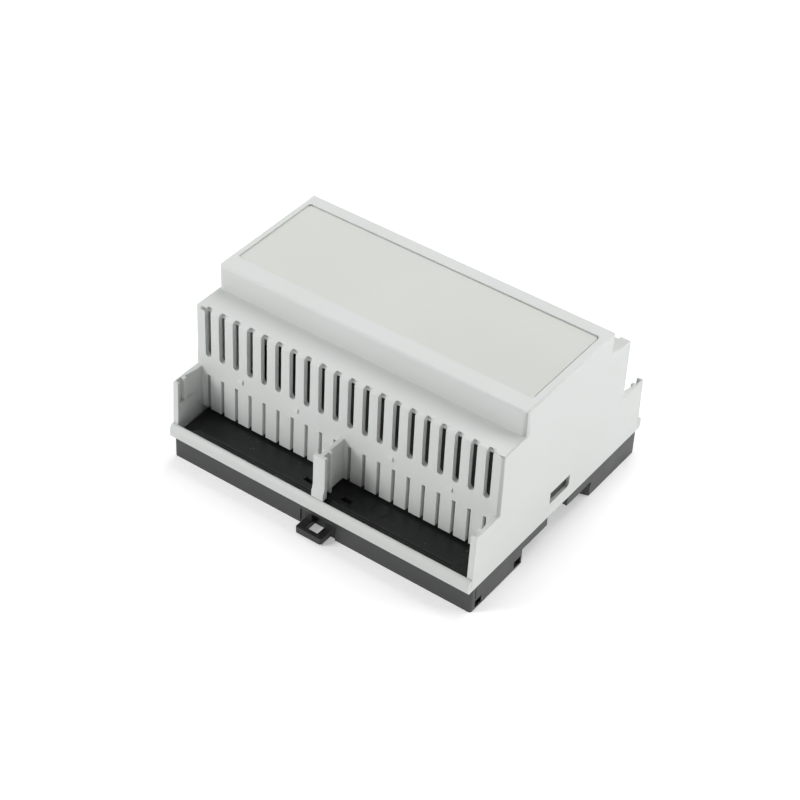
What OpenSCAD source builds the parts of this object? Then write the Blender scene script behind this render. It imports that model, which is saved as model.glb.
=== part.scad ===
// Vented instrument enclosure for a 35 mm mounting rail, six modules long: a stepped
// one-piece housing with open terminal bays, a front panel that clips into it, a base
// that latches to its end walls and a sliding rail clip.
// Frame: the origin is the centre of the seat that lies on the rail. X runs along the
// rail, -Y points to the clip side and +Z away from the rail.

/* [Housing] */
// Overall length along the rail
body_l = 106; // [88:0.5:124]
// Width over the two beads
body_w = 90; // [84:0.5:98]
// Height from the soles of the feet to the rim of the nose
body_h = 58; // [54:0.5:66]
// Thickness of the walls behind the terminal bays and of the nose
wall = 1.6; // [1.2:0.1:2.2]
// Thickness of the end walls
end_wall = 1.9; // [1.6:0.1:2.5]
// Width of the nose
nose_w = 44; // [42:0.5:46]
// Height of the nose above the shoulders
nose_h = 8.5; // [6:0.5:12]
// Width over the shoulders
shoulder_w = 65; // [60:0.5:68]
// Height of the end walls and centre walls beside the terminal bays
bay_h = 28; // [24:0.5:34]
// Height of the seam between base and housing
seam_h = 8.3; // [7.5:0.1:10]
// Radius of the upright corners of the nose
nose_r = 1.8; // [1:0.1:2.5]
// Radius of the top edges of the nose
rim_r = 1; // [0.5:0.1:1.5]
// Radius of the upper edges of the shoulders
shoulder_r = 0.8; // [0.4:0.1:1.2]
// Radius of the upright corners of the shoulders
corner_r = 1; // [0.5:0.1:1.5]

/* [Beads and bay walls] */
// Thickness of the bead along each long side
bead_t = 1.4; // [1:0.1:1.8]
// Height of the bead above the seam
bead_h = 4.6; // [3.5:0.1:5.5]
// Radius of the bead's upper outer edge
bead_r = 1.2; // [0.5:0.1:1.3]
// How far the top of an end wall leans back from the bead
wall_draft = 0.5; // [0:0.1:1]
// Thickness of the web of a centre wall
web_t = 1.4; // [1:0.1:2]
// Width of the cap at the front of a centre wall
cap_w = 4.2; // [3:0.1:6]
// Thickness of that cap
cap_t = 1.2; // [0.8:0.1:2]
// Height over which the cap flares out to the bead
flare_h = 4.6; // [2:0.1:7]
// Width of the upright grooves that take a terminal cover
groove_w = 2.3; // [1.5:0.1:3]
// Depth of those grooves in the end walls
groove_d = 1.1; // [0.5:0.1:1.2]
// Length of those grooves, from the top of the end wall
groove_l = 8; // [5:0.5:10]
// Thickness of the rib behind each groove on a centre wall
rib_t = 0.7; // [0.5:0.1:1.2]

/* [Vents] */
// Distance from one vent slot to the next
slot_pitch = 5.1; // [4.5:0.1:6.5]
// Width of an upper slot
slot_w = 2.1; // [1.5:0.1:2.8]
// Height of the lower end of an upper slot
slot_low = 32.7; // [32:0.1:38]
// Width of a lower slot
slit_w = 1; // [0.6:0.1:1.6]
// Height of the closed upper end of a lower slot
slit_top = 25.8; // [20:0.1:27]
// Distance between the two cover nubs of one bay
nub_spread = 20; // [14:0.5:22]
// Width of a nub
nub_w = 2; // [1.5:0.1:3]
// Height of a nub
nub_h = 2.2; // [1.5:0.1:2.5]

/* [Front panel] */
// Width of the rim at each end of the panel
rim_end = 2.6; // [2.3:0.1:5]
// Width of the rim on the clip side of the panel
rim_front = 6; // [4:0.1:7]
// Width of the rim on the far side of the panel
rim_back = 4; // [3.5:0.1:6]
// Thickness of the panel
panel_t = 2; // [1.5:0.1:2.5]
// Depth of the panel's face below the rim
panel_drop = 0.4; // [0.1:0.1:0.8]
// Gap between the panel and the rim
panel_gap = 0.2; // [0.15:0.05:0.4]
// Width of the ledge under the panel
ledge_w = 1.3; // [0.8:0.1:2]
// Thickness of that ledge
ledge_t = 1.4; // [1:0.1:2]

/* [Base] */
// Wall thickness of the base
base_wall = 1.7; // [1.4:0.1:2]
// Gap between base and housing
base_gap = 0.2; // [0.1:0.05:0.3]
// Gap between the base and the inside of a bead
bead_gap = 0.6; // [0.4:0.1:0.9]
// Width of the rail
rail_w = 35; // [35:0.5:36]
// Play across the rail
rail_play = 1.1; // [0.8:0.1:1.5]
// Thickness of the rail's flange
rail_t = 1; // [1:0.1:1.5]
// Height of the rail seat above the soles
seat_h = 5.2; // [4.6:0.1:6]
// Thickness of the floor over the rail
floor_t = 1.7; // [1.4:0.1:2]
// Height of the floor of the terminal bays above the soles
bay_floor = 12.4; // [12:0.1:12.6]
// Height of the lip along the outer edge of each bay floor
lip_h = 0.4; // [0.2:0.1:0.6]
// Reach of the fixed hook under the rail's flange
hook_reach = 1.2; // [0.8:0.1:1.6]
// Shift of the rail's channel away from the clip side
channel_shift = 0.25; // [0:0.05:0.5]
// Radius of the upright corners of the base
base_r = 1.6; // [0.8:0.1:2.2]
// Number of cross ribs in each half of a foot
foot_ribs = 3; // [2:1:4]

/* [End snaps] */
// Width of a snap window
window_w = 10; // [7:0.5:12]
// Height of a snap window
window_h = 4.3; // [3.5:0.1:5]
// Height of the window's lower edge above the soles
window_low = 13.1; // [13:0.1:15]
// Size of the window's cut corner
window_cut = 0.9; // [0.4:0.1:1.5]
// Depth of the snap's face below the face of the end wall
snap_depth = 0.95; // [0.8:0.05:1.1]
// Thickness of the snap tongue
snap_t = 1.4; // [1:0.1:1.8]

/* [Circuit board bosses] */
// Distance between the bosses along the rail
boss_dx = 84; // [60:1:88]
// Distance between the bosses across the rail
boss_dy = 48; // [40:1:50]
// Outer diameter of a boss
boss_d = 6; // [5:0.1:7]
// Diameter of its screw hole
boss_hole = 2.5; // [2:0.1:3]
// Height of a boss above the floor
boss_h = 5; // [4:0.5:8]

/* [Rail clip] */
// Width of the clip
clip_w = 12; // [10:0.5:14]
// Height of the clip's opening in the foot
clip_mouth = 5.3; // [5.2:0.1:5.6]
// Gap around the clip
clip_gap = 0.2; // [0.15:0.05:0.3]
// Height of the clip's underside above the soles
clip_low = 0.4; // [0.3:0.1:0.8]
// Travel of the clip
clip_travel = 4.5; // [3:0.5:5]
// Length of the pull loop outside the foot
loop_l = 4.7; // [4:0.1:8]
// Width of the pull loop
loop_w = 9.3; // [7:0.1:10]
// Thickness of the pull loop
loop_t = 2.1; // [1.5:0.1:2.2]
// Width of the tool slot in the loop
tool_w = 3.4; // [2.5:0.1:4]
// Length of the tool slot
tool_l = 4.4; // [3.5:0.1:6]
// Width of the bar in front of the tool slot
bar_w = 1.95; // [1.5:0.05:2.5]
// Width of each guide tongue
tongue_w = 1; // [0.8:0.1:1.4]
// Reach of the clip's nose past the foot
clip_reach = 2.1; // [1.6:0.1:2.5]

/* [Hidden] */
$fn = 32;
eps = 0.01;
pierce = 1;                                    // overrun of a cut past a free face

housing_colour = [0.84, 0.85, 0.83];
panel_colour = [0.83, 0.84, 0.81];
base_colour = [0.30, 0.30, 0.30];
clip_colour = [0.17, 0.17, 0.17];

inner_l = body_l - 2 * end_wall;               // clear length between the end walls
shoulder_h = body_h - nose_h;                  // height of the shoulder shelves
bead_in = body_w / 2 - bead_t;                 // inner face of a bead
bead_top = seam_h + bead_h;
tab_low = bay_floor + 0.8;                     // free lower ends of the bay walls
base_w = 2 * (bead_in - bead_gap);             // width of the base
base_l = inner_l - 2 * base_gap;               // length of the base inside the housing
cavity_w = shoulder_w - 2 * wall;              // clear width behind the bay walls
roof_t = wall + 0.2;                           // thickness of the nose's roof

slot_count = 2 * floor(inner_l / slot_pitch / 2);
slot_xs = [for (i = [0 : slot_count - 1]) (i - (slot_count - 1) / 2) * slot_pitch];

groove_y = bead_in - wall_draft - cap_t;       // outer side of a cover groove
rib_reach = 0.9;                               // how far the ribs stand off the web
bay_mid = (cap_w / 2 + inner_l / 2) / 2;       // middle of a bay
nub_reach = 0.4;
nub_low = bay_h + 0.5;

pocket_l = body_l - 2 * rim_end;               // panel pocket in the nose
pocket_w = nose_w - rim_front - rim_back;
pocket_y = (rim_front - rim_back) / 2;
pocket_r = 1.2;
ledge_h = body_h - panel_drop - panel_t;       // top of the ledge
pocket_wall = 1.2;
hook_w = 6;                                    // panel hooks
hook_t = 1.2;
hook_nib = 0.7;
hook_play = 0.2;
panel_slip = 0.1;                              // the panel lies to one side of its play
hook_xs = [for (i = [-1 : 1]) i * pocket_l / 3.2];

channel_w = rail_w + rail_play;                // rail channel between the feet
channel_low = channel_shift - channel_w / 2;   // its clip side
channel_high = channel_shift + channel_w / 2;  // its hook side
hook_top = seat_h - rail_t - 0.2;              // top of the fixed hook
hook_lead = 2.6;                               // length of its lead-in
floor_top = seat_h + floor_t;
well_w = cavity_w - 2 * base_gap - 2 * base_wall;
well_l = base_l - 2 * base_wall;
cell_out = base_w / 2 - base_wall;             // outer side of the foot pockets
cell_split = well_w / 2 + base_wall;           // pockets split under the well's wall

tongue_t = 1.2;                                // clip guide tongues
tongue_low = 2.8;
mouth_w = clip_w + 2 * clip_gap;
guide_w = mouth_w + 2 * tongue_w;              // width over the guide grooves
cheek_w = guide_w / 2 + base_wall;             // outer side of the guide's cheeks
front_y = -base_w / 2;                         // clip side face of the base
guide_front = front_y + base_wall;             // front end of the guide grooves
guide_back = channel_low - base_wall;          // back end of the guide grooves
clip_top = clip_mouth - clip_gap;
clip_face_t = 1.9;                             // thickness of the blocks at its face
slab_front = front_y - loop_l + bar_w + tool_l;
slab_low = clip_low + loop_t - 0.5;
slab_t = 1.6;                                  // thickness of the clip's plate
nose_top = seat_h - rail_t - 0.2;              // top of the clip's nose

// Moves a shape drawn from the soles of the feet to the rail seat's frame.
module from_soles() translate([0, 0, -seat_h]) children();

// A profile drawn across the rail, as Y and Z, drawn out along X.
module along_x(length) rotate([90, 0, 90]) linear_extrude(length, center = true) children();

// A profile drawn along the rail, as X and Z, drawn out along Y.
module along_y(length) rotate([90, 0, 0]) linear_extrude(length, center = true) children();

// The same shape at both ends of the housing.
module both_ends() {
    children();
    mirror([1, 0, 0]) children();
}

// The same shape on both long sides.
module both_sides() {
    children();
    mirror([0, 1, 0]) children();
}

// A centred rectangle with round corners.
module round_rect(length, width, r) {
    square([length - 2 * r, width], center = true);
    square([length, width - 2 * r], center = true);
    for (sx = [-1, 1], sy = [-1, 1])
        translate([sx * (length / 2 - r), sy * (width / 2 - r)]) circle(r);
}

// A rectangle that stands on its base line, with the two upper corners round.
module round_top(width, low, high, r) {
    translate([-width / 2, low]) square([width, high - low - r]);
    translate([-width / 2 + r, low]) square([width - 2 * r, high - low]);
    for (s = [-1, 1]) translate([s * (width / 2 - r), high - r]) circle(r);
}

// An upright block with round corners, standing on a given height.
module round_block(length, width, r, low, high)
    translate([0, 0, low]) linear_extrude(high - low) round_rect(length, width, r);

// A plain block given by its two opposite corners.
module block(a, b) translate(a) cube(b - a);

// ---- Housing ----

// The nose: round upright corners and round top edges all the way round.
module nose_block() intersection() {
    round_block(body_l, nose_w, nose_r, shoulder_h - wall, body_h);
    along_x(body_l + 2) round_top(nose_w, shoulder_h - 2 * wall, body_h, rim_r);
    along_y(nose_w + 2) round_top(body_l, shoulder_h - 2 * wall, body_h, rim_r);
}

// The body below the nose, down to the free ends of the bay walls.
module shoulder_block() intersection() {
    round_block(body_l, shoulder_w, corner_r, tab_low, shoulder_h);
    along_x(body_l + 2) round_top(shoulder_w, tab_low - 1, shoulder_h, shoulder_r);
    along_y(shoulder_w + 2) round_top(body_l, tab_low - 1, shoulder_h, shoulder_r / 2);
}

// One end wall beside the terminal bays, leaning back slightly above the bead.
module end_plate() translate([body_l / 2 - end_wall / 2, 0, 0]) along_x(end_wall)
    polygon([[-bead_in, seam_h], [bead_in, seam_h], [bead_in - wall_draft, bay_h],
             [-bead_in + wall_draft, bay_h]]);

// Section of a bead, on the +Y side: flat inside, round above and below outside.
module bead_section() intersection() {
    translate([bead_in - eps, seam_h]) square([bead_t + eps, bead_h]);
    union() {
        translate([bead_in - eps, seam_h]) square([bead_t + eps - bead_r, bead_h]);
        translate([bead_in - eps, seam_h + bead_r]) square([bead_t + eps, bead_h - 2 * bead_r]);
        for (z = [seam_h + bead_r, bead_top - bead_r])
            translate([body_w / 2 - bead_r, z]) circle(bead_r);
    }
}

// The two beads, with round upright corners at the ends of the housing.
module beads() intersection() {
    both_sides() along_x(body_l) bead_section();
    round_block(body_l, body_w, corner_r, seam_h - 1, bead_top + 1);
}

// Centre wall of the bays on the +Y side: web, front cap with a flared foot, and ribs.
module centre_wall() {
    cap_y = bead_in - wall_draft;
    block([-web_t / 2, shoulder_w / 2 - wall / 2, tab_low], [web_t / 2, cap_y, bay_h]);
    block([-cap_w / 2, cap_y - cap_t, tab_low - 0.3], [cap_w / 2, cap_y, bay_h]);
    block([-web_t / 2 - rib_reach, groove_y - groove_w - rib_t, tab_low - 0.3],
          [web_t / 2 + rib_reach, groove_y - groove_w, bay_h]);
    cap_flare(cap_y);
}

// The foot of the cap, a concave flare that runs out on to the bead.
module cap_flare(cap_y) {
    out_y = body_w / 2 - bead_r;
    along_x(cap_w) difference() {
        translate([cap_y - eps, tab_low - 0.3]) square([out_y - cap_y, flare_h]);
        translate([cap_y + flare_h, bead_top + flare_h]) circle(flare_h, $fn = 64);
    }
    block([-cap_w / 2, bead_in - eps, bead_top - bead_h / 2], [cap_w / 2, out_y, bead_top]);
}

// Clear space inside the housing, open below.
module housing_cavity() {
    along_x(inner_l) {
        translate([-cavity_w / 2, 0]) square([cavity_w, shoulder_h - wall]);
        translate([-nose_w / 2 + wall, 0]) square([nose_w - 2 * wall, body_h - roof_t]);
    }
}

// Walls and ledge of the panel's pocket, inside the nose.
module pocket_frame() translate([0, pocket_y, 0])
    round_block(min(pocket_l + 2 * pocket_wall, inner_l + 2 * eps), pocket_w + 2 * pocket_wall,
                pocket_r, ledge_h - ledge_t, body_h - roof_t + eps);

// The pocket and the opening below its ledge.
module pocket_cut() translate([0, pocket_y, 0]) {
    round_block(pocket_l, pocket_w, pocket_r, ledge_h, body_h + pierce);
    round_block(pocket_l - 2 * ledge_w, pocket_w - 2 * ledge_w, pocket_r,
                ledge_h - ledge_t - pierce, ledge_h + pierce);
}

// One upper vent slot: round below, and open through the edge of the shoulder.
module upper_slot() {
    r = slot_w / 2;
    y0 = shoulder_w / 2 - wall;
    translate([0, y0 + (wall + pierce) / 2, 0]) along_y(wall + pierce) {
        translate([-r, slot_low + r]) square([slot_w, shoulder_h + pierce - slot_low - r]);
        translate([0, slot_low + r]) circle(r);
    }
}

// One lower vent slot: a slit that runs out through the free end of the wall.
module lower_slot()
    block([-slit_w / 2, shoulder_w / 2 - wall - pierce, tab_low - pierce],
          [slit_w / 2, shoulder_w / 2 + pierce / 2, slit_top]);

// All vent slots on the +Y side.
module vents() for (x = slot_xs) translate([x, 0, 0]) {
    upper_slot();
    lower_slot();
}

// Cover nubs on the +Y side: wedges that let a cover snap down over them.
module nubs() for (s = [-1, 1], t = [-1, 1]) translate([s * bay_mid + t * nub_spread / 2, 0, 0])
    along_x(nub_w) polygon([[shoulder_w / 2 - eps, nub_low],
                            [shoulder_w / 2 + nub_reach, nub_low + 0.3],
                            [shoulder_w / 2 + nub_reach, nub_low + nub_h / 2],
                            [shoulder_w / 2 - eps, nub_low + nub_h]]);

// Cover groove in the +X end wall on the +Y side, with the shallow relief beside it.
module cover_groove() translate([inner_l / 2, 0, bay_h - groove_l])
    linear_extrude(groove_l + pierce)
        polygon([[-pierce, groove_y], [groove_d, groove_y], [groove_d, groove_y - groove_w],
                 [groove_d / 2, groove_y - groove_w], [0, shoulder_w / 2 + 1.5],
                 [-pierce, shoulder_w / 2 + 1.5]]);

// Outline of a snap window, drawn in by an inset, with one lower corner cut off.
module window_outline(inset) {
    half = window_w / 2 - inset;
    low = window_low + inset;
    high = window_low + window_h - inset;
    cut = window_cut - 0.6 * inset;
    polygon([[-half, low], [half - cut, low], [half, low + cut], [half, high], [-half, high]]);
}

// Snap window through the +X end wall.
module snap_window() translate([body_l / 2 - end_wall / 2, 0, 0])
    along_x(end_wall + 2 * pierce) window_outline(0);

module housing() color(housing_colour) from_soles() difference() {
    union() {
        difference() {
            union() {
                nose_block();
                shoulder_block();
                both_ends() end_plate();
            }
            housing_cavity();
            both_sides() vents();
        }
        intersection() {
            pocket_frame();
            block([-body_l / 2 + end_wall - eps, -nose_w / 2 + wall - eps, 0],
                  [body_l / 2 - end_wall + eps, nose_w / 2 - wall + eps, body_h]);
        }
        beads();
        both_sides() centre_wall();
        both_sides() nubs();
    }
    pocket_cut();
    both_ends() both_sides() cover_groove();
    both_ends() snap_window();
}

// ---- Front panel ----

// One panel hook on the +Y edge: a leg through the opening and a nib under the ledge.
module panel_hook() {
    y1 = pocket_w / 2 - ledge_w - hook_play - panel_slip;
    z0 = ledge_h - ledge_t;
    nib_h = 1.4;
    along_x(hook_w) polygon([[y1 - hook_t, ledge_h + eps], [y1, ledge_h + eps],
                             [y1, z0 - hook_play], [y1 + hook_nib, z0 - hook_play],
                             [y1, z0 - hook_play - nib_h], [y1 - hook_t, z0 - hook_play - nib_h]]);
}

module front_panel() color(panel_colour) from_soles() translate([-panel_slip, pocket_y - panel_slip, 0]) {
    round_block(pocket_l - 2 * panel_gap, pocket_w - 2 * panel_gap, pocket_r - panel_gap,
                ledge_h, ledge_h + panel_t);
    both_sides() for (x = hook_xs) translate([x, 0, 0]) panel_hook();
}

// ---- Base ----

// Outer form: a visible plinth below the seam and a narrower tray above it.
module base_block() {
    round_block(body_l, base_w, base_r, 0, seam_h);
    block([-base_l / 2, -base_w / 2, seam_h - base_wall], [base_l / 2, base_w / 2, bay_floor]);
    both_ends() both_sides() block([cap_w / 2 + 0.4, base_w / 2 - base_wall, bay_floor - eps],
                                   [base_l / 2 - 5.6, base_w / 2 - 0.9, bay_floor + lip_h]);
}

// The channel for the rail, with the fixed hook left standing on its +Y side.
module rail_channel() {
    lip = channel_high - hook_reach;
    block([-body_l, channel_low, -pierce], [body_l, lip, seat_h]);
    block([-body_l, lip - eps, hook_top], [body_l, channel_high, seat_h]);
    both_ends() translate([0, 0, -pierce]) linear_extrude(seat_h + pierce)
        polygon([[body_l / 2 - hook_lead, lip - eps], [body_l / 2 + pierce, channel_high],
                 [body_l / 2 + pierce, lip - eps]]);
}

// The well for the circuit board, open above.
module board_well()
    block([-well_l / 2, -well_w / 2, floor_top], [well_l / 2, well_w / 2, bay_floor + pierce]);

// Pockets of a foot on the +Y side, from its inner wall to its outer wall.
module foot_cells(inner) {
    x_end = body_l / 2 - base_wall;
    x_top = base_l / 2 - base_wall;
    step = (x_end - cheek_w) / (foot_ribs + 1);
    for (i = [0 : foot_ribs]) {
        x0 = cheek_w + i * step + (i == 0 ? 0 : base_wall / 2);
        x1 = cheek_w + (i + 1) * step - (i == foot_ribs ? 0 : base_wall / 2);
        block([x0, cell_split, -pierce], [x1, cell_out, seam_h - base_wall]);
        block([x0, cell_split, -pierce], [min(x1, x_top), cell_out, bay_floor - base_wall]);
        block([x0, inner + base_wall, -pierce], [x1, cell_split - base_wall, seat_h]);
    }
}

module base() color(base_colour) from_soles() {
    difference() {
        union() {
            difference() {
                base_block();
                board_well();
                both_ends() foot_cells(channel_high);
                both_ends() mirror([0, 1, 0]) foot_cells(-channel_low);
                middle_cells();
                clip_guide();
            }
            both_ends() snap_tongue();
            at_bosses(seat_h) cylinder(d = boss_d, h = floor_t + boss_h);
        }
        rail_channel();
        both_ends() end_notches();
        both_ends() snap_slits();
        bay_floor_details();
        at_bosses(floor_top) cylinder(d = boss_hole, h = boss_h + pierce);
    }
}

// Places a shape at each of the four board bosses, at a given height.
module at_bosses(height) for (sx = [-1, 1], sy = [-1, 1])
    translate([sx * boss_dx / 2, sy * boss_dy / 2, height]) children();

// Pockets in the middle of the +Y foot, opposite the clip.
module middle_cells() both_ends() {
    x1 = cheek_w - base_wall;
    block([base_wall / 2, cell_split, -pierce], [x1, cell_out, bay_floor - base_wall]);
    block([base_wall / 2, channel_high + base_wall, -pierce], [x1, cell_split - base_wall, seat_h]);
}

// The clip's slot through the -Y foot, with a guide groove in each cheek.
module clip_guide() {
    block([-mouth_w / 2, front_y - pierce, -pierce], [mouth_w / 2, channel_low + eps, clip_mouth]);
    block([-mouth_w / 2, -cell_out, -pierce], [mouth_w / 2, -cell_split, bay_floor - base_wall]);
    block([-guide_w / 2, guide_front, tongue_low - clip_gap],
          [guide_w / 2, guide_back, tongue_low + tongue_t + clip_gap]);
}

// Tongue behind the +X end wall, with a nose that latches into its window.
module snap_tongue() {
    x0 = base_l / 2 - snap_t;
    face = body_l / 2 - snap_depth;
    half = window_w / 2 - base_gap;
    low = window_low + base_gap;
    top = window_low + window_h - base_gap;
    block([x0, -half, floor_top - eps], [base_l / 2, half, top]);
    intersection() {
        along_y(window_w) polygon([[x0, low], [face, low], [face, top - 1.2], [face - 0.6, top], [x0, top]]);
        translate([face, 0, 0]) along_x(4 * snap_t) window_outline(base_gap);
    }
}

// Slits that free the +X tongue from the tray wall.
module snap_slits() for (s = [-1, 1])
    block([base_l / 2 - base_wall - pierce, s * (window_w / 2 + 0.3) - 0.5, floor_top],
          [base_l / 2 + eps, s * (window_w / 2 + 0.3) + 0.5, bay_floor + pierce]);

// Openings in the +X end of the plinth: the gap under the snap and two foot slots.
module end_notches() {
    x0 = body_l / 2 - base_wall;
    x1 = body_l / 2 + pierce;
    block([base_l / 2, -window_w / 2 - 0.2, -pierce], [x1, window_w / 2 + 0.2, seam_h + eps]);
    block([x0 - eps, front_y + 1.9, 0.5], [x1, front_y + 5, 3]);
    block([x0 - eps, channel_low - 3.9, 0.6], [x1, channel_low - 0.6, 3.1]);
    block([body_l / 2 - 0.3, front_y + 1.8, 3.8], [x1, front_y + 2.1, seam_h - 0.6]);
}

// Detail in the bay floors: core holes down to the clip's guides and ejector rings.
module bay_floor_details() {
    hole_y = front_y + 4.5;
    for (s = [-1, 1]) translate([s * (guide_w / 2 - tongue_w / 2), hole_y, tongue_low + tongue_t])
        block([-1.6, -0.8, 0], [1.6, 0.8, bay_floor]);
    both_ends() both_sides() translate([bay_mid - nub_spread / 2, base_w / 2 - 6.3, bay_floor - 0.15])
        difference() {
            cylinder(r = 2.6, h = pierce);
            cylinder(r = 2.3, h = 3 * pierce, center = true);
        }
}

// ---- Rail clip ----

// The clip's face: two blocks that fill the opening in the foot beside the tool slot.
module clip_face() both_ends()
    block([tool_w / 2 + 0.6, front_y, clip_low], [clip_w / 2, front_y + clip_face_t, clip_top]);

// The pull loop that stands out of the foot, with its front corners cut off.
module pull_loop() translate([0, 0, clip_low]) linear_extrude(loop_t) {
    y0 = front_y - loop_l;
    c = 0.5;
    polygon([[-loop_w / 2 + c, y0], [loop_w / 2 - c, y0], [loop_w / 2, y0 + c],
             [loop_w / 2, front_y + clip_face_t + 1], [-loop_w / 2, front_y + clip_face_t + 1],
             [-loop_w / 2, y0 + c]]);
}

// Sliding plate with its guide tongues, side ribs and the nose that holds the rail.
module clip_body() {
    y1 = channel_low + clip_reach;
    block([-clip_w / 2, slab_front, slab_low], [clip_w / 2, channel_low - 0.2, slab_low + slab_t]);
    both_ends() block([clip_w / 2 - 1.2, front_y + 0.5, slab_low], [clip_w / 2, channel_low - 0.2, clip_top]);
    block([-clip_w / 2, channel_low - 1.8, slab_low], [clip_w / 2, channel_low - 0.2, clip_top]);
    both_ends() block([clip_w / 2 - eps, guide_front + clip_travel + 0.1, tongue_low],
                      [clip_w / 2 + tongue_w, guide_back - 0.1, tongue_low + tongue_t]);
    along_x(clip_w) polygon([[channel_low - 3, clip_low + 0.2], [channel_low - 0.6, clip_low + 0.2],
                             [y1, nose_top - 1], [y1, nose_top], [channel_low - 3, nose_top]]);
}

// Slots that free the two side arms, so that the tongues give as they enter the guides.
module arm_slots() both_ends()
    block([clip_w / 2 - 2, slab_front + 2, slab_low - pierce],
          [clip_w / 2 - 1.2, channel_low - 5, clip_top + pierce]);

module rail_clip() color(clip_colour) from_soles() difference() {
    union() {
        clip_face();
        pull_loop();
        clip_body();
    }
    block([-tool_w / 2, front_y - loop_l + bar_w, -pierce],
          [tool_w / 2, front_y - loop_l + bar_w + tool_l, clip_low + loop_t + eps]);
    arm_slots();
}

housing();
front_panel();
base();
rail_clip();
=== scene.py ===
"""Studio scene of a vented enclosure for a 35 mm mounting rail.

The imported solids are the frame. Each moulding is dressed as a copy of its solid whose
edges are broken by a small radius, with a moulded-plastic finish that has the tool's
grain, a slow drift of tone and a little dust, under soft light on a pale floor.
"""

import logging
import math
from collections.abc import Iterator
from dataclasses import dataclass
from enum import Enum

import bmesh
import bpy
from mathutils import Matrix, Vector


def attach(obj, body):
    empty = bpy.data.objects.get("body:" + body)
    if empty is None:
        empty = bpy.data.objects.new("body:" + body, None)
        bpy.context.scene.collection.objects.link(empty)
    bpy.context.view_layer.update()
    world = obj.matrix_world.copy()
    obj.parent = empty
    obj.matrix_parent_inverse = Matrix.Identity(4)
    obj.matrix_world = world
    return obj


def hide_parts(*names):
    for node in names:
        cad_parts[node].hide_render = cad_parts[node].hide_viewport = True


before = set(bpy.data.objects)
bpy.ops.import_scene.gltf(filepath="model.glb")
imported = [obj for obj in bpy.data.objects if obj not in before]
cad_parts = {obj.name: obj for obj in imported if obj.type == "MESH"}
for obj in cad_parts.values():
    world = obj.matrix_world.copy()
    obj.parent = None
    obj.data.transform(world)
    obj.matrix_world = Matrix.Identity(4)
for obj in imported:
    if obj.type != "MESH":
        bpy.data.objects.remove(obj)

MM = 0.001
SOLE = -5.2  # height of the soles of the feet in the frame, in millimetres
NEAR = 0.01  # slack with which two coordinates are compared, in millimetres
LOG = logging.getLogger("enclosure")

Colour = tuple[float, float, float, float]
Point = tuple[float, float, float]


def linear(red: int, green: int, blue: int) -> Colour:
    """Turns a colour of a display into the linear colour that a shader takes.

    Args:
        red: Red, from 0 to 255.
        green: Green, from 0 to 255.
        blue: Blue, from 0 to 255.

    Returns:
        The linear colour, with an alpha of 1.
    """
    parts = []
    for value in (red, green, blue):
        share = value / 255
        low = share / 12.92
        high = ((share + 0.055) / 1.055) ** 2.4
        parts.append(low if share <= 0.04045 else high)
    return (parts[0], parts[1], parts[2], 1.0)


# ---- Shader groups ----


class Effect(Enum):
    """The shader groups that the finishes share, by the name each is built under."""

    GRAIN = "spark_eroded_grain"
    DRIFT = "tone_drift"
    DUST = "settled_dust"
    RUB = "handling_rub"


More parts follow.
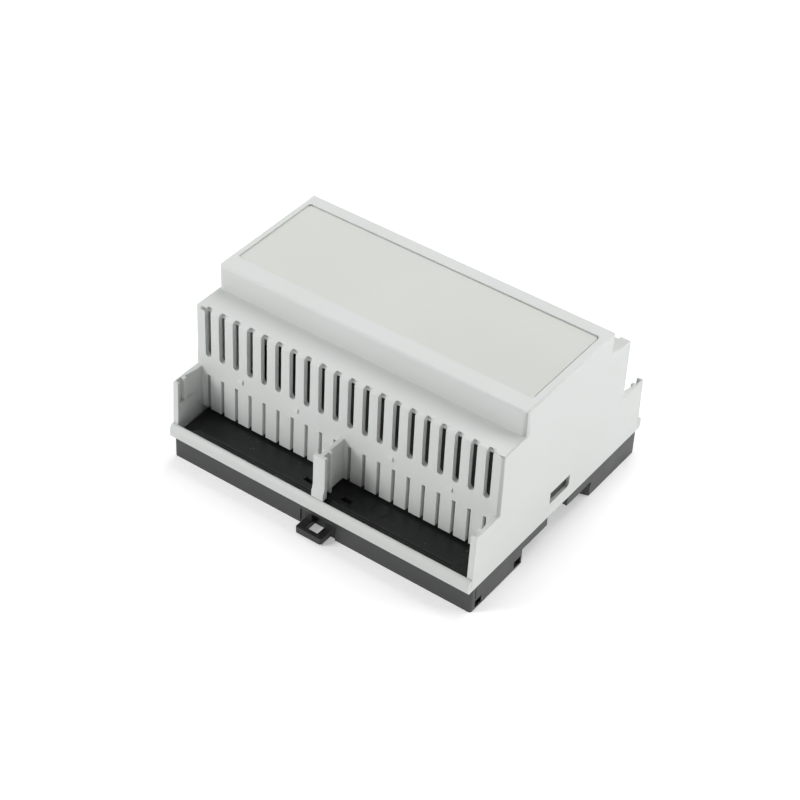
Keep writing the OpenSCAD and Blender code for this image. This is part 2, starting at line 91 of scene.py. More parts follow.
class EffectLibrary:
    """Builds each shared shader group once and hands it to the finishes."""

    FINER = 2.7  # scale of the finer roughness, as a multiple of the pits'
    PATCHES = 160.0  # scale of the patches in which dust gathers
    DRIFT_RANGE = (0.3, 0.7)  # noise that becomes 0 and 1
    RUB_RANGE = (0.35, 0.75)
    PATCH_RANGE = (0.56, 0.70)
    SPECK_RANGE = (0.16, 0.05)  # distance from a speck's middle that becomes 0 and 1
    UPWARD_RANGE = (0.1, 0.9)  # upward part of the normal that becomes 0 and 1

    def __init__(self) -> None:
        """Starts with no group built."""
        self._built: dict[Effect, bpy.types.NodeTree] = {}

    def get(self, effect: Effect) -> bpy.types.NodeTree:
        """Gives a group, and builds it the first time.

        Args:
            effect: Which group is wanted.

        Returns:
            The group's node tree.
        """
        if effect not in self._built:
            maker, inputs = {
                Effect.GRAIN: (self._grain, {"Scale": 2200.0, "Fine share": 0.35}),
                Effect.DRIFT: (self._drift, {"Scale": 28.0}),
                Effect.DUST: (self._dust, {"Scale": 900.0, "Amount": 0.5}),
                Effect.RUB: (self._rub, {"Scale": 90.0}),
            }[effect]
            tree = self._empty(effect, inputs)
            value = maker(tree, tree.nodes.new("NodeGroupInput"))
            sink = tree.nodes.new("NodeGroupOutput")
            tree.links.new(value, sink.inputs["Value"])
            self._built[effect] = tree
        return self._built[effect]

    @staticmethod
    def _empty(effect: Effect, inputs: dict[str, float]) -> bpy.types.NodeTree:
        """Makes an empty group.

        Args:
            effect: Which group it becomes.
            inputs: Its value inputs, beside the input named Vector, and their defaults.

        Returns:
            The group, with one value output named Value.
        """
        tree = bpy.data.node_groups.new(effect.value, "ShaderNodeTree")
        tree.interface.new_socket("Vector", in_out="INPUT", socket_type="NodeSocketVector")
        tree.interface.new_socket("Value", in_out="OUTPUT", socket_type="NodeSocketFloat")
        for name, default in inputs.items():
            socket = tree.interface.new_socket(name, in_out="INPUT",
                                               socket_type="NodeSocketFloat")
            socket.default_value = default
        return tree

    @staticmethod
    def _feed(tree: bpy.types.NodeTree, value: bpy.types.NodeSocket | float,
              socket: bpy.types.NodeSocket) -> None:
        """Links a socket to another one, or sets it to a number."""
        if isinstance(value, bpy.types.NodeSocket):
            tree.links.new(value, socket)
        else:
            socket.default_value = value

    def _noise(self, tree: bpy.types.NodeTree, source: bpy.types.Node,
               scale: bpy.types.NodeSocket | float, detail: float) -> bpy.types.NodeSocket:
        """Adds a noise texture to a group.

        Args:
            tree: The group.
            source: The group's input node.
            scale: The socket that sets its scale, or a fixed scale.
            detail: Its number of octaves.

        Returns:
            The socket with the noise.
        """
        node = tree.nodes.new("ShaderNodeTexNoise")
        node.inputs["Detail"].default_value = detail
        tree.links.new(source.outputs["Vector"], node.inputs["Vector"])
        self._feed(tree, scale, node.inputs["Scale"])
        return node.outputs["Fac"]

    def _math(self, tree: bpy.types.NodeTree, operation: str,
              *values: bpy.types.NodeSocket | float) -> bpy.types.NodeSocket:
        """Adds a math node whose two inputs are sockets or numbers."""
        node = tree.nodes.new("ShaderNodeMath")
        node.operation = operation
        for value, socket in zip(values, node.inputs):
            self._feed(tree, value, socket)
        return node.outputs[0]

    @staticmethod
    def _ramp(tree: bpy.types.NodeTree, value: bpy.types.NodeSocket,
              ends: tuple[float, float]) -> bpy.types.NodeSocket:
        """Adds a node that turns a range of values into 0 to 1.

        Args:
            tree: The group.
            value: The socket with the value.
            ends: The values that become 0 and 1.

        Returns:
            The socket with the result.
        """
        node = tree.nodes.new("ShaderNodeMapRange")
        node.inputs["From Min"].default_value, node.inputs["From Max"].default_value = ends
        tree.links.new(value, node.inputs["Value"])
        return node.outputs["Result"]

    def _grain(self, tree: bpy.types.NodeTree, source: bpy.types.Node) -> bpy.types.NodeSocket:
        """Height of a spark-eroded tool surface: round pits over a finer roughness."""
        coarse = self._noise(tree, source, source.outputs["Scale"], 1.0)
        finer = self._math(tree, "MULTIPLY", source.outputs["Scale"], self.FINER)
        fine = self._noise(tree, source, finer, 2.0)
        share = self._math(tree, "MULTIPLY", fine, source.outputs["Fine share"])
        return self._math(tree, "ADD", coarse, share)

    def _drift(self, tree: bpy.types.NodeTree, source: bpy.types.Node) -> bpy.types.NodeSocket:
        """Slow change of tone over a moulding, as the melt leaves it, from 0 to 1."""
        cloud = self._noise(tree, source, source.outputs["Scale"], 2.0)
        return self._ramp(tree, cloud, self.DRIFT_RANGE)

    def _dust(self, tree: bpy.types.NodeTree, source: bpy.types.Node) -> bpy.types.NodeSocket:
        """Sparse specks of dust, more of them on what faces up."""
        specks = tree.nodes.new("ShaderNodeTexVoronoi")
        tree.links.new(source.outputs["Vector"], specks.inputs["Vector"])
        tree.links.new(source.outputs["Scale"], specks.inputs["Scale"])
        shape = tree.nodes.new("ShaderNodeNewGeometry")
        parts = tree.nodes.new("ShaderNodeSeparateXYZ")
        tree.links.new(shape.outputs["Normal"], parts.inputs["Vector"])
        patch = self._noise(tree, source, self.PATCHES, 2.0)
        total = self._ramp(tree, specks.outputs["Distance"], self.SPECK_RANGE)
        for factor in (self._ramp(tree, patch, self.PATCH_RANGE),
                       self._ramp(tree, parts.outputs["Z"], self.UPWARD_RANGE),
                       source.outputs["Amount"]):
            total = self._math(tree, "MULTIPLY", total, factor)
        return total

    def _rub(self, tree: bpy.types.NodeTree, source: bpy.types.Node) -> bpy.types.NodeSocket:
        """Faint patches that handling has made smoother, from 0 to 1."""
        cloud = self._noise(tree, source, source.outputs["Scale"], 3.0)
        return self._ramp(tree, cloud, self.RUB_RANGE)


EFFECTS = EffectLibrary()


# ---- Finishes ----


@dataclass(frozen=True)
class PlasticFinish:
    """A moulded plastic with the grain of its tool.

    Attributes:
        name: The material's name.
        body: The colour of most of the surface.
        shade: The colour that the tone drifts to.
        roughness: Roughness where the surface is untouched.
        rubbed: Roughness where handling has smoothed it.
        grain_scale: Pits per metre.
        grain_depth: Depth of the grain, in metres.
        dust: How much dust shows, from 0 to 1.
        dust_colour: The colour of the dust.
        specular: Specular level.
    """

    name: str
    body: Colour
    shade: Colour
    roughness: float
    rubbed: float
    grain_scale: float
    grain_depth: float
    dust: float = 0.0
    dust_colour: Colour = (0.75, 0.75, 0.74, 1.0)
    specular: float = 0.5

    def build(self) -> bpy.types.Material:
        """Builds the material's node tree.

        Returns:
            The finished material.
        """
        material = bpy.data.materials.new(self.name)
        material.use_nodes = True
        tree = material.node_tree
        shader = tree.nodes["Principled BSDF"]
        shader.inputs["Specular IOR Level"].default_value = self.specular
        place = tree.nodes.new("ShaderNodeTexCoord")

        drift = self._group(tree, Effect.DRIFT, place)
        colour = self._mix(tree, drift.outputs["Value"], self.body, self.shade)
        if self.dust > 0:
            specks = self._group(tree, Effect.DUST, place)
            specks.inputs["Amount"].default_value = self.dust
            colour = self._mix(tree, specks.outputs["Value"], colour, self.dust_colour)
        tree.links.new(colour, shader.inputs["Base Color"])

        rub = self._group(tree, Effect.RUB, place)
        gloss = tree.nodes.new("ShaderNodeMapRange")
        gloss.inputs["To Min"].default_value = self.roughness
        gloss.inputs["To Max"].default_value = self.rubbed
        tree.links.new(rub.outputs["Value"], gloss.inputs["Value"])
        tree.links.new(gloss.outputs["Result"], shader.inputs["Roughness"])

        grain = self._group(tree, Effect.GRAIN, place)
        grain.inputs["Scale"].default_value = self.grain_scale
        bump = tree.nodes.new("ShaderNodeBump")
        bump.inputs["Strength"].default_value = 1.0
        bump.inputs["Distance"].default_value = self.grain_depth
        tree.links.new(grain.outputs["Value"], bump.inputs["Height"])
        tree.links.new(bump.outputs["Normal"], shader.inputs["Normal"])
        return material

    @staticmethod
    def _group(tree: bpy.types.NodeTree, effect: Effect,
               place: bpy.types.Node) -> bpy.types.Node:
        """Places a shared group in a material and feeds it the object coordinates."""
        node = tree.nodes.new("ShaderNodeGroup")
        node.node_tree = EFFECTS.get(effect)
        tree.links.new(place.outputs["Object"], node.inputs["Vector"])
        return node

    @staticmethod
    def _mix(tree: bpy.types.NodeTree, factor: bpy.types.NodeSocket,
             first: bpy.types.NodeSocket | Colour, second: Colour) -> bpy.types.NodeSocket:
        """Adds a mix of two colours.

        Args:
            tree: The material's node tree.
            factor: The socket with the share of the second colour.
            first: The first colour, or the socket that gives it.
            second: The second colour.

        Returns:
            The socket with the mixed colour.
        """
        node = tree.nodes.new("ShaderNodeMix")
        node.data_type = "RGBA"
        if isinstance(first, bpy.types.NodeSocket):
            tree.links.new(first, node.inputs["A"])
        else:
            node.inputs["A"].default_value = first
        node.inputs["B"].default_value = second
        tree.links.new(factor, node.inputs["Factor"])
        return node.outputs["Result"]


LIGHT_GREY = PlasticFinish(
    name="light_grey_moulding", body=linear(221, 224, 222), shade=linear(218, 221, 218),
    roughness=0.58, rubbed=0.50, grain_scale=2600.0, grain_depth=0.000012)
PANEL_GREY = PlasticFinish(
    name="panel_grey_moulding", body=linear(217, 220, 214), shade=linear(214, 217, 211),
    roughness=0.62, rubbed=0.55, grain_scale=3000.0, grain_depth=0.000014)
BASE_BLACK = PlasticFinish(
    name="base_black_moulding", body=linear(22, 23, 25), shade=linear(19, 20, 22),
    roughness=0.46, rubbed=0.38, grain_scale=2000.0, grain_depth=0.000016,
    dust=0.25, specular=0.85)
# Painted shade: a darker copy of the base's black with less specular, for the bay floors and tops
# inside; its grain and dust are real.
BAY_BLACK_PAINTED_SHADE = PlasticFinish(
    name="bay_black_painted_shade", body=linear(15, 15, 18), shade=linear(13, 13, 16),
    roughness=0.42, rubbed=0.36, grain_scale=2000.0, grain_depth=0.000012,
    dust=0.35, specular=0.40)
CLIP_BLACK = PlasticFinish(
    name="clip_black_moulding", body=linear(36, 36, 37), shade=linear(31, 31, 32),
    roughness=0.42, rubbed=0.34, grain_scale=2400.0, grain_depth=0.000008,
    dust=0.15)


# ---- Moulded forms ----


class MouldForm:
    """A step that brings a copied solid closer to the form that its mould gives it.

    Its lengths are in millimetres, and its heights are counted from the soles.
    """

    def __call__(self, shape: bmesh.types.BMesh) -> None:
        """Moves the points of a shape to their places on the moulding.

        Args:
            shape: The merged shape, in metres.
        """
        raise NotImplementedError

    @staticmethod
    def _points(
            shape: bmesh.types.BMesh) -> Iterator[tuple[bmesh.types.BMVert, float, float, float]]:
        """Walks over the points of a shape.

        Args:
            shape: The merged shape, in metres.

        Yields:
            A point, its places along and across the rail, and its height.
        """
        for vert in shape.verts:
            x, y, z = (value / MM for value in vert.co)
            yield vert, x, y, z - SOLE

    @staticmethod
    def _put(vert: bmesh.types.BMVert, x: float, y: float, z: float) -> None:
        """Moves a point to a place along and across the rail and to a height."""
        vert.co = Vector((x, y, z + SOLE)) * MM


@dataclass(frozen=True)
class BeadForm(MouldForm):
    """The housing's long edges: a full roll with square ends.

    Attributes:
        inner: Inner face of the bead, across the rail.
        low: Height of its underside.
        high: Height of its top.
        drawn_radius: Radius that the solid has along the bead.
        upper: Radius of the roll above.
        lower: Radius of the roll below.
        reach: How far the roll stands out across the rail.
        drawn_reach: How far the solid's bead stands out.
        corner: Upright radius that the solid has at the bead's ends.
        half_length: Half the housing's length.
        behind: How far behind its inner face a point still belongs to the bead.
        end_part: Length of the end walls' edges over the bead.
        end_ease: How far these edges stand out over it.
    """

    inner: float = 43.6
    low: float = 8.3
    high: float = 12.9
    drawn_radius: float = 1.2
    upper: float = 1.8
    lower: float = 1.0
    reach: float = 45.15
    drawn_reach: float = 45.0
    corner: float = 1.0
    half_length: float = 53.0
    behind: float = 0.7
    end_part: float = 2.5
    end_ease: float = 0.3

    def __call__(self, shape: bmesh.types.BMesh) -> None:
        """Lays the bead's points on the roll, and eases the end walls' edges over it.

        Args:
            shape: The housing's merged shape, in metres.
        """
        for vert, x, y, z in self._points(shape):
            is_level = self.low - NEAR < z < self.high + 2 * NEAR
            if abs(y) < self.inner - self.behind or not is_level:
                continue
            if abs(y) > self.inner + 2 * NEAR:
                along, across, height = self._on_roll(abs(x), abs(y), z)
                self._put(vert, math.copysign(along, x), math.copysign(across, y), height)
            elif z > self.high - 2 * NEAR and abs(x) > self.half_length - self.end_part:
                self._put(vert, x, math.copysign(self.inner + self.end_ease, y), z)

    def _on_roll(self, x: float, y: float, z: float) -> Point:
        """Moves a point of the drawn bead to the same place on the roll.

        Args:
            x: Its distance from the middle, along the rail.
            y: Its distance from the middle, across the rail.
            z: Its height.

        Returns:
            The same three for the place on the roll.
        """
        at_end = x > self.half_length - self.corner - NEAR
        if at_end and y > self.drawn_reach - self.corner - NEAR:
            x, y = self.half_length, self._drawn_side(z)
        top = self.high - self.drawn_radius
        foot = self.low + self.drawn_radius
        centre = self.drawn_reach - self.drawn_radius
        is_flat = y < centre - NEAR / 2
        if z > top - NEAR:
            if is_flat:
                return (x, y, self.high)
            end = math.acos((self.inner + self.upper - self.reach) / self.upper)
            turn = math.atan2(max(z - top, 0.0), max(y - centre, 0.0))
            turn *= end / (math.pi / 2)
            y = self.reach - self.upper + self.upper * math.cos(turn)
            z = self.high - self.upper * math.sin(end) + self.upper * math.sin(turn)
        elif z < foot + NEAR:
            if is_flat:
                return (x, y, self.low)
            turn = math.atan2(max(foot - z, 0.0), max(y - centre, 0.0))
            y = self.reach - self.lower + self.lower * math.cos(turn)
            z = self.low + self.lower - self.lower * math.sin(turn)
        return (x, y, z)

    def _drawn_side(self, z: float) -> float:
        """Gives how far the solid's bead stands out at a height."""
        rise = max(z - (self.high - self.drawn_radius), self.low + self.drawn_radius - z, 0.0)
        return self.drawn_reach - self.drawn_radius + math.sqrt(
            max(self.drawn_radius ** 2 - rise ** 2, 0.0))


@dataclass(frozen=True)
class PocketForm(MouldForm):
    """The panel's pocket, and the panel that fills it.

    Attributes:
        end: Where the solid's round corners begin at the -X end.
        limit: Where the rim's own points begin, which stay.
        ledge: Height of the ledge.
        half_width: Half the width in which the pocket lies.
        shift: How far the moulding's pocket reaches past the solid's.
        play: How much further the +X end of a panel stands off its rim.
    """

    end: float = -49.15
    limit: float = -50.6
    ledge: float = 55.6
    half_width: float = 18.5
    shift: float = 0.6
    play: float = 0.0

    def __call__(self, shape: bmesh.types.BMesh) -> None:
        """Draws the -X end of the pocket or panel out, and a panel's +X end in.

        Args:
            shape: The merged shape, in metres.
        """
        for vert, x, y, z in self._points(shape):
            is_end = self.limit < x < self.end and abs(y) < self.half_width
            if is_end and z > self.ledge - NEAR:
                vert.co.x -= self.shift * MM
            elif x > -self.end:
                vert.co.x -= self.play * MM


@dataclass(frozen=True)
class CoverGrooveForm(MouldForm):
    """The cover grooves in the end walls: deeper, with a relief and a rib beside each.

    Attributes:
        face: Inner face of an end wall, along the rail.
        low: Height of the grooves' lower ends.
        high: Height of the walls' top.
        drawn: Points of the solid's groove and relief, as depth and side.
        moulded: The same points as the mould leaves them.
        rib: Sides of the rib between relief and groove.
        rib_root: How deep the rib's root lies in the wall.
        rib_sink: How far the ribs lie below the grooves' own ends.
    """

    face: float = 51.1
    low: float = 20.0
    high: float = 28.0
    drawn: tuple[tuple[float, float], ...] = (
        (0.0, 41.9), (1.1, 41.9), (1.1, 39.6), (0.55, 39.6), (0.0, 34.0))
    moulded: tuple[tuple[float, float], ...] = (
        (0.0, 42.35), (1.35, 42.35), (1.35, 40.3), (0.8, 39.0), (0.0, 34.3))
    rib: tuple[float, float] = (39.0, 40.3)
    rib_root: float = 1.5
    rib_sink: float = 0.03

    def __call__(self, shape: bmesh.types.BMesh) -> None:
        """Deepens the grooves and stands a rib beside each.

        Args:
            shape: The housing's merged shape, in metres.
        """
        for vert, x, y, z in self._points(shape):
            moulded = self._moulded_place(abs(x), abs(y), z)
            if moulded is not None:
                vert.co.x = math.copysign(moulded[0], x) * MM
                vert.co.y = math.copysign(moulded[1], y) * MM
        size = Vector((self.rib_root, self.rib[1] - self.rib[0], self.high - self.low))
        for along in (-1, 1):
            for across in (-1, 1):
                centre = Vector((along * (self.face + self.rib_root / 2),
                                 across * sum(self.rib) / 2,
                                 (self.low + self.high) / 2 - self.rib_sink + SOLE))
                bmesh.ops.create_cube(shape, size=1.0, matrix=(
                    Matrix.Translation(centre * MM) @ Matrix.Diagonal((*(size * MM), 1.0))))

    def _moulded_place(self, x: float, y: float, z: float) -> tuple[float, float] | None:
        """Finds where a point of the solid's groove or relief lies on the moulding.

        Args:
            x: Its distance from the middle, along the rail.
            y: Its distance from the middle, across the rail.
            z: Its height.

        Returns:
            The same two distances on the moulding, or None for any other point.
        """
        slack = 3 * NEAR
        if not self.low - slack < z < self.high + slack:
            return None
        for (depth, side), (to_depth, to_side) in zip(self.drawn, self.moulded):
            if abs(x - self.face - depth) < slack and abs(y - side) < slack:
                return (self.face + to_depth, to_side)
        return None


@dataclass(frozen=True)
class NoseForm(MouldForm):
    """The nose's rim, its long sides and the shoulder behind it.

    Attributes:
        half_width: Half the nose's width.
        top: Height of its rim.
        drawn_radius: Radius of the solid's rim.
        radius: Radius of the moulding's far rim.
        set_back: How far the far side of the nose stands outside the solid's.
        set_forward: How far the clip side of the nose does.
        shelf: Height of the shoulders.
        shoulder: Half the width over the shoulders.
        shoulder_radius: Radius of the shoulders' edges.
        sink: How far the far shelf falls towards its edge.
    """

    half_width: float = 22.0
    top: float = 58.0
    drawn_radius: float = 1.0
    radius: float = 0.5
    set_back: float = 0.35
    set_forward: float = 0.3
    shelf: float = 49.5
    shoulder: float = 32.5
    shoulder_radius: float = 0.8
    sink: float = 0.5

    def __call__(self, shape: bmesh.types.BMesh) -> None:
        """Tightens the far rim, sets the long sides out and slopes the far shelf.

        Args:
            shape: The housing's merged shape, in metres.
        """
        rim = self.half_width - self.drawn_radius
        shelf_low = self.shelf - self.shoulder_radius - 2 * NEAR
        for vert, x, y, z in self._points(shape):
            if z > self.top - self.drawn_radius + NEAR and y > rim:
                y, z = self._tight(y, self.half_width), self._tight(z, self.top)
            is_nose = z > self.shelf - NEAR
            if is_nose and abs(y - self.half_width) < self.drawn_radius / 2 + NEAR:
                y += self.set_back
            elif is_nose and -self.half_width - NEAR < y < -rim:
                y -= self.set_forward
            elif y > self.half_width and self.shelf + NEAR > z > shelf_low:
                z -= self.sink * (y - self.half_width) / (self.shoulder - self.half_width)
            self._put(vert, x, y, z)

    def _tight(self, value: float, edge: float) -> float:
        """Moves a coordinate of the round rim out to the tighter radius."""
        gap = edge - abs(value)
        if not 0.0 <= gap < self.drawn_radius:
            return value
        return math.copysign(edge - gap * self.radius / self.drawn_radius, value)


@dataclass(frozen=True)
class PlinthForm(MouldForm):
    """The base's outer skin and the edges of its bay floors.

    Attributes:
        side: Half the width that the solid has.
        half_length: Half its length.
        drawn_radius: Radius of the solid's upright corners.
        radius: Radius of the moulding's upright corners.
        spread: How far the moulding's long sides stand outside the solid's.
        floor_high: Height of the bay floors.
        trench: Depth of the trench outside the strip on each bay floor.
        strip: How far the strip stands above the solid's.
        ring: Depth of the ejector rings, of which one bay alone keeps its mark.
    """

    side: float = 43.0
    half_length: float = 53.0
    drawn_radius: float = 1.6
    radius: float = 0.9
    spread: float = 0.2
    floor_high: float = 12.4
    trench: float = 2.2
    strip: float = 0.25
    ring: float = 0.15

    def __call__(self, shape: bmesh.types.BMesh) -> None:
        """Tightens the corners, sets the sides out and forms the edges of the floors.

        Args:
            shape: The base's merged shape, in metres.
        """
        for vert, x, y, z in self._points(shape):
            corner = self._corner(abs(x), abs(y))
            if corner is not None:
                self._put(vert, math.copysign(corner[0], x), math.copysign(corner[1], y), z)
            elif self._is_in_corner(abs(x), abs(y)):
                continue
            elif abs(y) > self.side - NEAR:
                sunk = self.trench if z > self.floor_high - NEAR else 0.0
                self._put(vert, x, math.copysign(self.side + self.spread, y), z - sunk)
            elif z > self.floor_high + NEAR:
                self._put(vert, x, y, z + self.strip)
            elif abs(z - self.floor_high + self.ring) < NEAR and not x > 0 > y:
                self._put(vert, x, y, self.floor_high)

    def _is_in_corner(self, x: float, y: float) -> bool:
        """Tells whether a point lies in the square that an upright corner rounds off."""
        return (x > self.half_length - self.drawn_radius - NEAR
                and y > self.side - self.drawn_radius - NEAR)

    def _corner(self, x: float, y: float) -> tuple[float, float] | None:
        """Finds where a point on the solid's upright corner lies on the moulding.

        Args:
            x: Its distance from the middle, along the rail.
            y: Its distance from the middle, across the rail.

        Returns:
            The same two distances on the moulding, or None for any other point.
        """
        over_x = x - (self.half_length - self.drawn_radius)
        over_y = y - (self.side - self.drawn_radius)
        is_skin = math.hypot(over_x, over_y) >= self.drawn_radius - 2 * NEAR
        if not (self._is_in_corner(x, y) and is_skin):
            return None
        turn = math.atan2(over_y, over_x)
        return (self.half_length - self.radius * (1 - math.cos(turn)),
                self.side + self.spread - self.radius * (1 - math.sin(turn)))


@dataclass(frozen=True)
class LoopForm(MouldForm):
    """The rail clip's pull loop, with a wider tool slot.

    Attributes:
        drawn_side: Half the width of the solid's tool slot.
        side: Half the width of the moulding's slot.
        front: Where the slot ends, across the rail.
        shift: How far that end lies further out.
    """

    drawn_side: float = 1.7
    side: float = 2.15
    front: float = -45.75
    shift: float = 0.25

    def __call__(self, shape: bmesh.types.BMesh) -> None:
        """Widens the tool slot and sets its end further out.

        Args:
            shape: The clip's merged shape, in metres.
        """
        for vert, x, y, _ in self._points(shape):
            if abs(abs(x) - self.drawn_side) < 2 * NEAR:
                vert.co.x = math.copysign(self.side * MM, x)
                if abs(y - self.front) < 2 * NEAR:
                    vert.co.y -= self.shift * MM


# ---- Mouldings ----


@dataclass(frozen=True)
class Moulding:
    """A one-piece moulding, dressed as a copy of its solid with broken edges.

    Attributes:
        node: The solid that it stands for.
        body: The rigid body that it moves with.
        slot: Name of a material slot; it is not used.
        finish: Its finish.
        edge_radius: Size of the break along its sharp outer edges, in millimetres.
        refine: Forms that the copy takes before its edges are broken.
        painted_shade_finish: A darker copy of the finish with less specular, which paints shade
            on the upper sides that lie inside, where it has one.
        painted_shade_height: Height from which a face takes that painted shade, in millimetres.
        shortest_edge: Edges shorter than this stay sharp, in millimetres.
        sharp_angle: Angle from which an edge is broken, in degrees.
        smooth_angle: Angle up to which an edge is shaded smooth, in degrees.
        flat_angle: Angle up to which two faces become one, in degrees.
        weld: Points closer than this become one, in millimetres.
    """

    node: str
    body: str
    slot: str
    finish: PlasticFinish
    edge_radius: float
    refine: tuple[MouldForm, ...]
    painted_shade_finish: PlasticFinish | None = None
    painted_shade_height: float = 6.6
    shortest_edge: float = 0.30
    sharp_angle: float = 50.0
    smooth_angle: float = 38.0
    flat_angle: float = 0.6
    weld: float = 0.002

    def build(self) -> bpy.types.Object:
        """Copies the solid, gives it its moulded form, and dresses the copy.

        Returns:
            The finished piece.
        """
        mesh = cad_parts[self.node].data.copy()
        mesh.name = f"{self.node}_dressed"
        mesh.materials.clear()
        self._form(mesh)
        piece = bpy.data.objects.new(f"{self.node}_dressed", mesh)
        bpy.context.scene.collection.objects.link(piece)
        self._shade(mesh)
        mesh.materials.append(self.finish.build())
        # Faces above the height take the darker copy of the finish: painted shade on the inside
        # of the bays.
        if self.painted_shade_finish is not None:
            mesh.materials.append(self.painted_shade_finish.build())
            for face in mesh.polygons:
                face.material_index = int(face.center.z > self.painted_shade_height * MM)
        even = piece.modifiers.new("even_faces", "WEIGHTED_NORMAL")
        even.keep_sharp = True
        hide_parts(self.node)
        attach(piece, self.body)
        LOG.info("%s: %d faces, edges broken by %.2f mm", self.node, len(mesh.polygons),
                 self.edge_radius)
        return piece

    def _form(self, mesh: bpy.types.Mesh) -> None:
        """Joins the loose triangles, takes the moulded forms and breaks the sharp edges."""
        shape = bmesh.new()
        shape.from_mesh(mesh)
        self._weld(shape)
        for form in self.refine:
            form(shape)
            shape.normal_update()
            self._weld(shape)
        bmesh.ops.dissolve_limit(
            shape, angle_limit=math.radians(self.flat_angle), verts=shape.verts,
            edges=shape.edges, use_dissolve_boundaries=False)
        bmesh.ops.bevel(
            shape, geom=self._sharp_edges(shape), offset=self.edge_radius * MM,
            offset_type="OFFSET", segments=2, profile=0.5, affect="EDGES",
            clamp_overlap=False, loop_slide=True, material=-1)
        shape.to_mesh(mesh)
        shape.free()

    def _weld(self, shape: bmesh.types.BMesh) -> None:
        """Makes one of the points that lie together, and drops the faces left without area."""
        bmesh.ops.remove_doubles(shape, verts=shape.verts, dist=self.weld * MM)
        bmesh.ops.dissolve_degenerate(shape, edges=shape.edges, dist=self.weld * MM)

    def _sharp_edges(self, shape: bmesh.types.BMesh) -> list[bmesh.types.BMEdge]:
        """Finds the edges that the tool leaves with a small radius.

        Args:
            shape: The merged shape.

        Returns:
            The convex sharp edges that are long enough to take the break.
        """
        limit = math.radians(self.sharp_angle)
        return [edge for edge in shape.edges
                if len(edge.link_faces) == 2
                and edge.calc_length() >= self.shortest_edge * MM
                and edge.calc_face_angle_signed(0.0) > limit]

    def _shade(self, mesh: bpy.types.Mesh) -> None:
        """Shades round faces smooth and keeps real corners crisp."""
        mesh.polygons.foreach_set("use_smooth", [True] * len(mesh.polygons))
        mesh.set_sharp_from_angle(angle=math.radians(self.smooth_angle))
        mesh.update()


@dataclass(frozen=True)
class Enclosure:
    """The whole product: housing, front panel, base and rail clip."""

    housing: Moulding = Moulding(
        "housing", "enclosure", "housing_plastic", LIGHT_GREY, edge_radius=0.16,
        refine=(BeadForm(), NoseForm(), PocketForm(), CoverGrooveForm()))
    front_panel: Moulding = Moulding(
        "front_panel", "enclosure", "panel_plastic", PANEL_GREY, edge_radius=0.12,
        refine=(PocketForm(play=0.12),))
    # The base's bay floors and tops inside take a darker copy of its black: painted shade.
    base: Moulding = Moulding(
        "base", "enclosure", "base_plastic", BASE_BLACK, edge_radius=0.10,
        refine=(PlinthForm(),), painted_shade_finish=BAY_BLACK_PAINTED_SHADE)
    rail_clip: Moulding = Moulding(
        "rail_clip", "clip", "clip_plastic", CLIP_BLACK, edge_radius=0.12,
        refine=(LoopForm(),))

    def build(self) -> None:
        """Builds the mouldings in the order in which they are put together."""
        for moulding in (self.base, self.rail_clip, self.housing, self.front_panel):
            moulding.build()


# ---- Studio ----


WHITE: Colour = (1.0, 1.0, 1.0, 1.0)


@dataclass(frozen=True)
class Floor:
    """The pale table that the enclosure stands on.

    Attributes:
        half_side: Half the table's side, in metres.
        height: Height of its top, in metres.
        colour: Its colour.
        roughness: Its roughness.
        specular: Its specular level.
        lift: How far its colour is lifted where it is seen directly.
    """

    half_side: float = 3.0
    height: float = SOLE * MM
    colour: Colour = (0.96, 0.96, 0.96, 1.0)
    roughness: float = 0.9
    specular: float = 0.1
    lift: float = 0.33

    def build(self) -> bpy.types.Object:
        """Builds the table top.

        Returns:
            The floor, marked as no part of the product.
        """
        mesh = bpy.data.meshes.new("table_top")
        shape = bmesh.new()
        bmesh.ops.create_grid(shape, x_segments=1, y_segments=1, size=self.half_side,
                              matrix=Matrix.Translation((0, 0, self.height)))
        shape.to_mesh(mesh)
        shape.free()
        floor = bpy.data.objects.new("table_top", mesh)
        bpy.context.scene.collection.objects.link(floor)
        mesh.materials.append(self._material())
        return floor

    def _material(self) -> bpy.types.Material:
        """Makes the table's matt white, lifted for direct and mirrored views."""
        material = bpy.data.materials.new("table_white")
        material.use_nodes = True
        tree = material.node_tree
        shader = tree.nodes["Principled BSDF"]
        shader.inputs["Base Color"].default_value = self.colour
        shader.inputs["Roughness"].default_value = self.roughness
        shader.inputs["Specular IOR Level"].default_value = self.specular
        shader.inputs["Emission Color"].default_value = WHITE
        seen = seen_directly(tree)
        lift = tree.nodes.new("ShaderNodeMath")
        lift.operation = "MULTIPLY"
        lift.inputs[1].default_value = self.lift
        tree.links.new(seen, lift.inputs[0])
        tree.links.new(lift.outputs[0], shader.inputs["Emission Strength"])
        return material


def seen_directly(tree: bpy.types.NodeTree) -> bpy.types.NodeSocket:
    """Adds nodes that give 1 for a ray of the camera, a mirror or glass, and 0 otherwise.

    Args:
        tree: The node tree to add them to.

    Returns:
        The socket with that value.
    """
    path = tree.nodes.new("ShaderNodeLightPath")
    seen = path.outputs["Is Camera Ray"]
    for kind in ("Is Glossy Ray", "Is Transmission Ray"):
        either = tree.nodes.new("ShaderNodeMath")
        either.operation = "MAXIMUM"
        tree.links.new(seen, either.inputs[0])
        tree.links.new(path.outputs[kind], either.inputs[1])
        seen = either.outputs[0]
    return seen


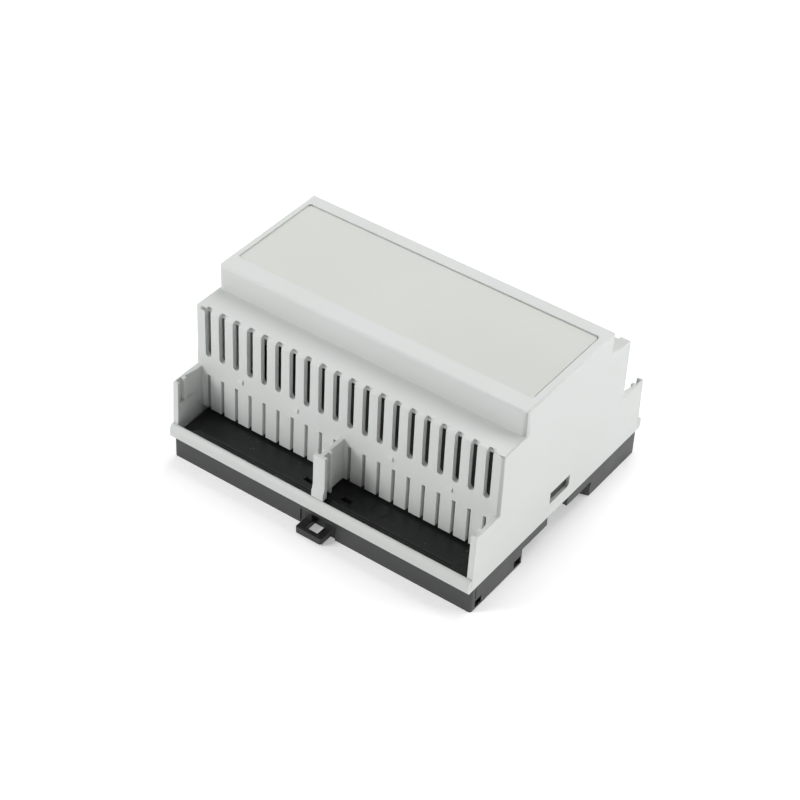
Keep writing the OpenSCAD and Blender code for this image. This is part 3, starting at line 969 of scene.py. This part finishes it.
@dataclass(frozen=True)
class Softbox:
    """A square soft light that points at the product.

    Attributes:
        name: The light's name.
        place: Where it stands, in metres.
        side: Side of the square, in metres.
        power: Its power in watts.
        aim: The point that it faces.
    """

    name: str
    place: Point
    side: float
    power: float
    aim: Point = (0.0, 0.0, 0.02)

    def build(self) -> bpy.types.Object:
        """Places the light.

        Returns:
            The light's object.
        """
        lamp = bpy.data.lights.new(self.name, "AREA")
        lamp.shape = "SQUARE"
        lamp.size = self.side
        lamp.energy = self.power
        holder = bpy.data.objects.new(self.name, lamp)
        bpy.context.scene.collection.objects.link(holder)
        holder.location = Vector(self.place)
        direction = Vector(self.aim) - Vector(self.place)
        holder.rotation_euler = direction.to_track_quat("-Z", "Y").to_euler()
        return holder


@dataclass(frozen=True)
class Studio:
    """The white tent: its even light, the softboxes and the table.

    Attributes:
        tent: Strength of the even light of the tent.
        opening: Direction in which the tent stands open.
        open_share: Share of the tent's light that comes from its opening.
        open_cosine: Cosine of the angle from that direction at which it is fully open.
        boxes: The softboxes.
        floor: The table.
    """

    tent: float = 0.44
    opening: tuple[float, float, float] = (0.62, -0.70, 0.25)
    open_share: float = 0.15
    open_cosine: float = 0.9
    boxes: tuple[Softbox, ...] = (
        Softbox("key_left_front", (-0.66, -0.66, 0.52), 0.45, 6.1),
        Softbox("side_right_back", (0.84, 0.56, 0.24), 0.60, 6.3),
        Softbox("top_back", (0.00, 0.45, 0.95), 0.60, 3.6),
    )
    floor: Floor = Floor()

    def build(self) -> None:
        """Builds the tent, the table and the lights."""
        self.floor.build()
        for box in self.boxes:
            box.build()
        self._tent()
        LOG.info("studio: tent %.2f, %d softboxes", self.tent, len(self.boxes))

    def _tent(self) -> None:
        """Sets the world: white where it is seen, even soft light elsewhere."""
        world = bpy.data.worlds.new("tent")
        bpy.context.scene.world = world
        world.use_nodes = True
        tree = world.node_tree
        background = tree.nodes["Background"]
        background.inputs["Color"].default_value = WHITE
        seen = seen_directly(tree)
        level = tree.nodes.new("ShaderNodeMapRange")
        level.inputs["To Max"].default_value = 1.0
        tree.links.new(seen, level.inputs["Value"])
        tree.links.new(self._opening(tree), level.inputs["To Min"])
        tree.links.new(level.outputs["Result"], background.inputs["Strength"])

    def _opening(self, tree: bpy.types.NodeTree) -> bpy.types.NodeSocket:
        """Dims the tent's light towards the side on which it stands open.

        Args:
            tree: The world's node tree.

        Returns:
            The socket with the strength of the tent's light.
        """
        place = tree.nodes.new("ShaderNodeTexCoord")
        towards = tree.nodes.new("ShaderNodeVectorMath")
        towards.operation = "DOT_PRODUCT"
        towards.inputs[1].default_value = Vector(self.opening).normalized()
        tree.links.new(place.outputs["Generated"], towards.inputs[0])
        share = tree.nodes.new("ShaderNodeMapRange")
        share.inputs["From Min"].default_value = 0.0
        share.inputs["From Max"].default_value = self.open_cosine
        share.inputs["To Min"].default_value = self.tent
        share.inputs["To Max"].default_value = self.tent * self.open_share
        tree.links.new(towards.outputs["Value"], share.inputs["Value"])
        return share.outputs["Result"]


@dataclass(frozen=True)
class ProductCamera:
    """The camera at the product's three-quarter view.

    Attributes:
        azimuth: Angle round the product from its front, in degrees.
        elevation: Angle above the table, in degrees.
        distance: Distance from the aim, in metres.
        aim: The point that it looks at.
        roll: Turn about the line of sight, in degrees.
        lens: Focal length, in millimetres.
        sensor: Width of the sensor, in millimetres.
    """

    azimuth: float = 34.0055
    elevation: float = 39.8752
    distance: float = 0.68004
    aim: Point = (-0.015785, 0.018788, -0.0052)
    roll: float = 3.0199
    lens: float = 99.99
    sensor: float = 36.0

    def build(self) -> bpy.types.Object:
        """Places the camera and makes it the scene's own.

        Returns:
            The camera's object.
        """
        around, above = math.radians(self.azimuth), math.radians(self.elevation)
        back = Vector((math.sin(around) * math.cos(above), -math.cos(around) * math.cos(above),
                       math.sin(above)))
        right = (-back).cross(Vector((0, 0, 1))).normalized()
        up = right.cross(-back)
        turn = math.radians(self.roll)
        across = math.cos(turn) * right + math.sin(turn) * up
        upward = -math.sin(turn) * right + math.cos(turn) * up
        pose = Matrix((across, upward, back)).transposed().to_4x4()
        pose.translation = Vector(self.aim) + self.distance * back
        lens = bpy.data.cameras.new("product_camera")
        lens.lens = self.lens
        lens.sensor_width = self.sensor
        lens.clip_start = 0.01
        lens.clip_end = 20.0
        camera = bpy.data.objects.new("product_camera", lens)
        bpy.context.scene.collection.objects.link(camera)
        camera.matrix_world = pose
        bpy.context.scene.camera = camera
        return camera


def main() -> None:
    """Builds the camera, the product and the studio, and notes the sizes."""
    logging.basicConfig(level=logging.INFO, format="%(name)s: %(message)s")
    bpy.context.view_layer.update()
    bpy.context.scene.view_settings.view_transform = "Standard"
    ProductCamera().build()
    Enclosure().build()
    Studio().build()
    bpy.context.view_layer.update()


if __name__ == "__main__":
    main()
